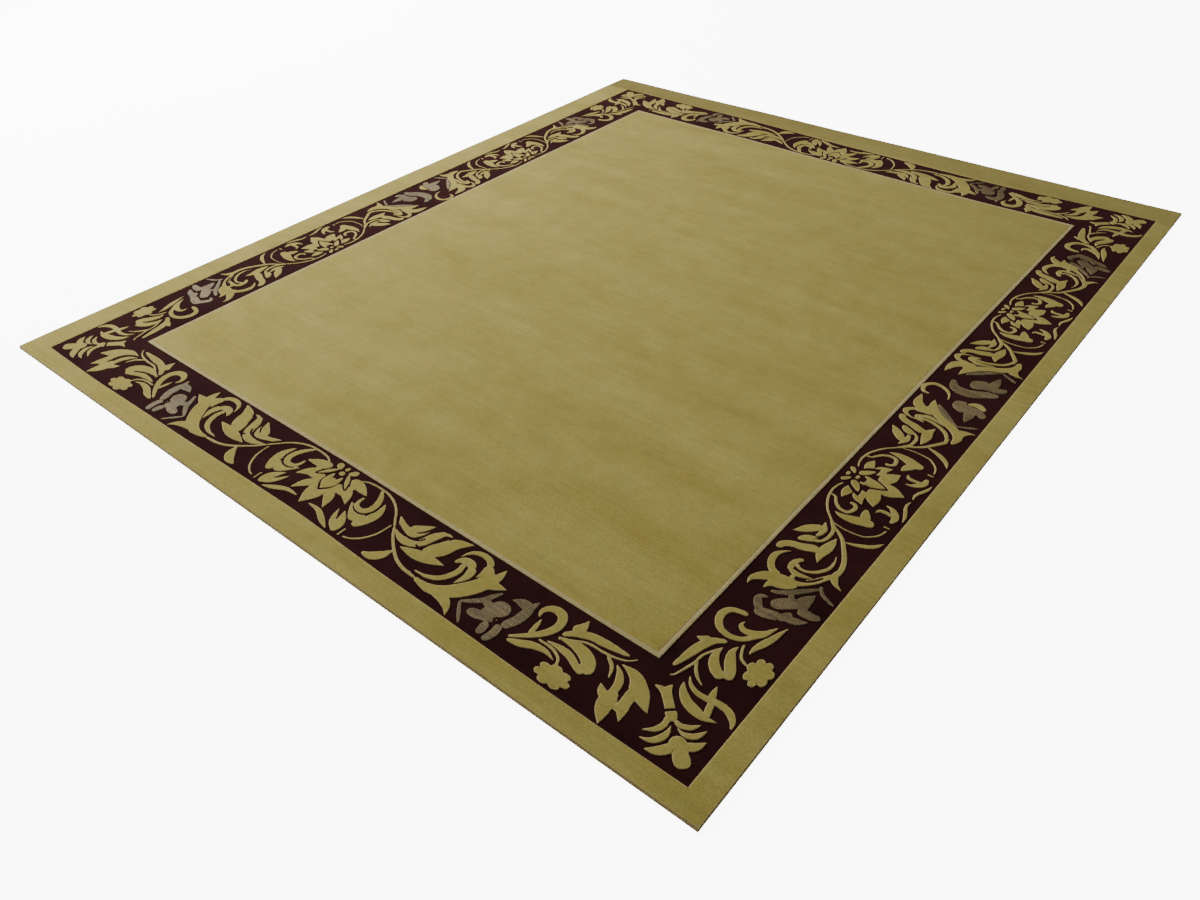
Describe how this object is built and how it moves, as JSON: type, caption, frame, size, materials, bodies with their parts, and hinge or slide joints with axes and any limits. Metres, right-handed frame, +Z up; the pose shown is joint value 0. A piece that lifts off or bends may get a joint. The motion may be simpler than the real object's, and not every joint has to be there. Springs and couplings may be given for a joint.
{
  "type": "hand-knotted area rug",
  "caption": "Flat rectangular wool pile rug with a plain golden field, a dark border of raised scrolling leaves and a plain outer margin.",
  "frame": {"origin": "middle of the underside, on the floor", "axes": "+X to the right along the front short side, +Y along the long sides from front to back, +Z up out of the pile"},
  "size_m": [2.447, 3.055, 0.012],
  "materials": {
    "gold_wool": "cut wool pile in muted gold, slightly uneven from dye lot to dye lot",
    "burgundy_wool": "cut wool pile in dark burgundy, clipped lower than the rest",
    "cream_wool": "cut wool pile in cream, one narrow line round the field",
    "silk": "cut silk pile with a soft sheen, for the flowers of the border",
    "foundation": "matte cotton warp and weft, seen along the rim and on the back"
  },
  "bodies": {
    "root": {"rug": "gold_wool"}
  },
  "joints": []
}
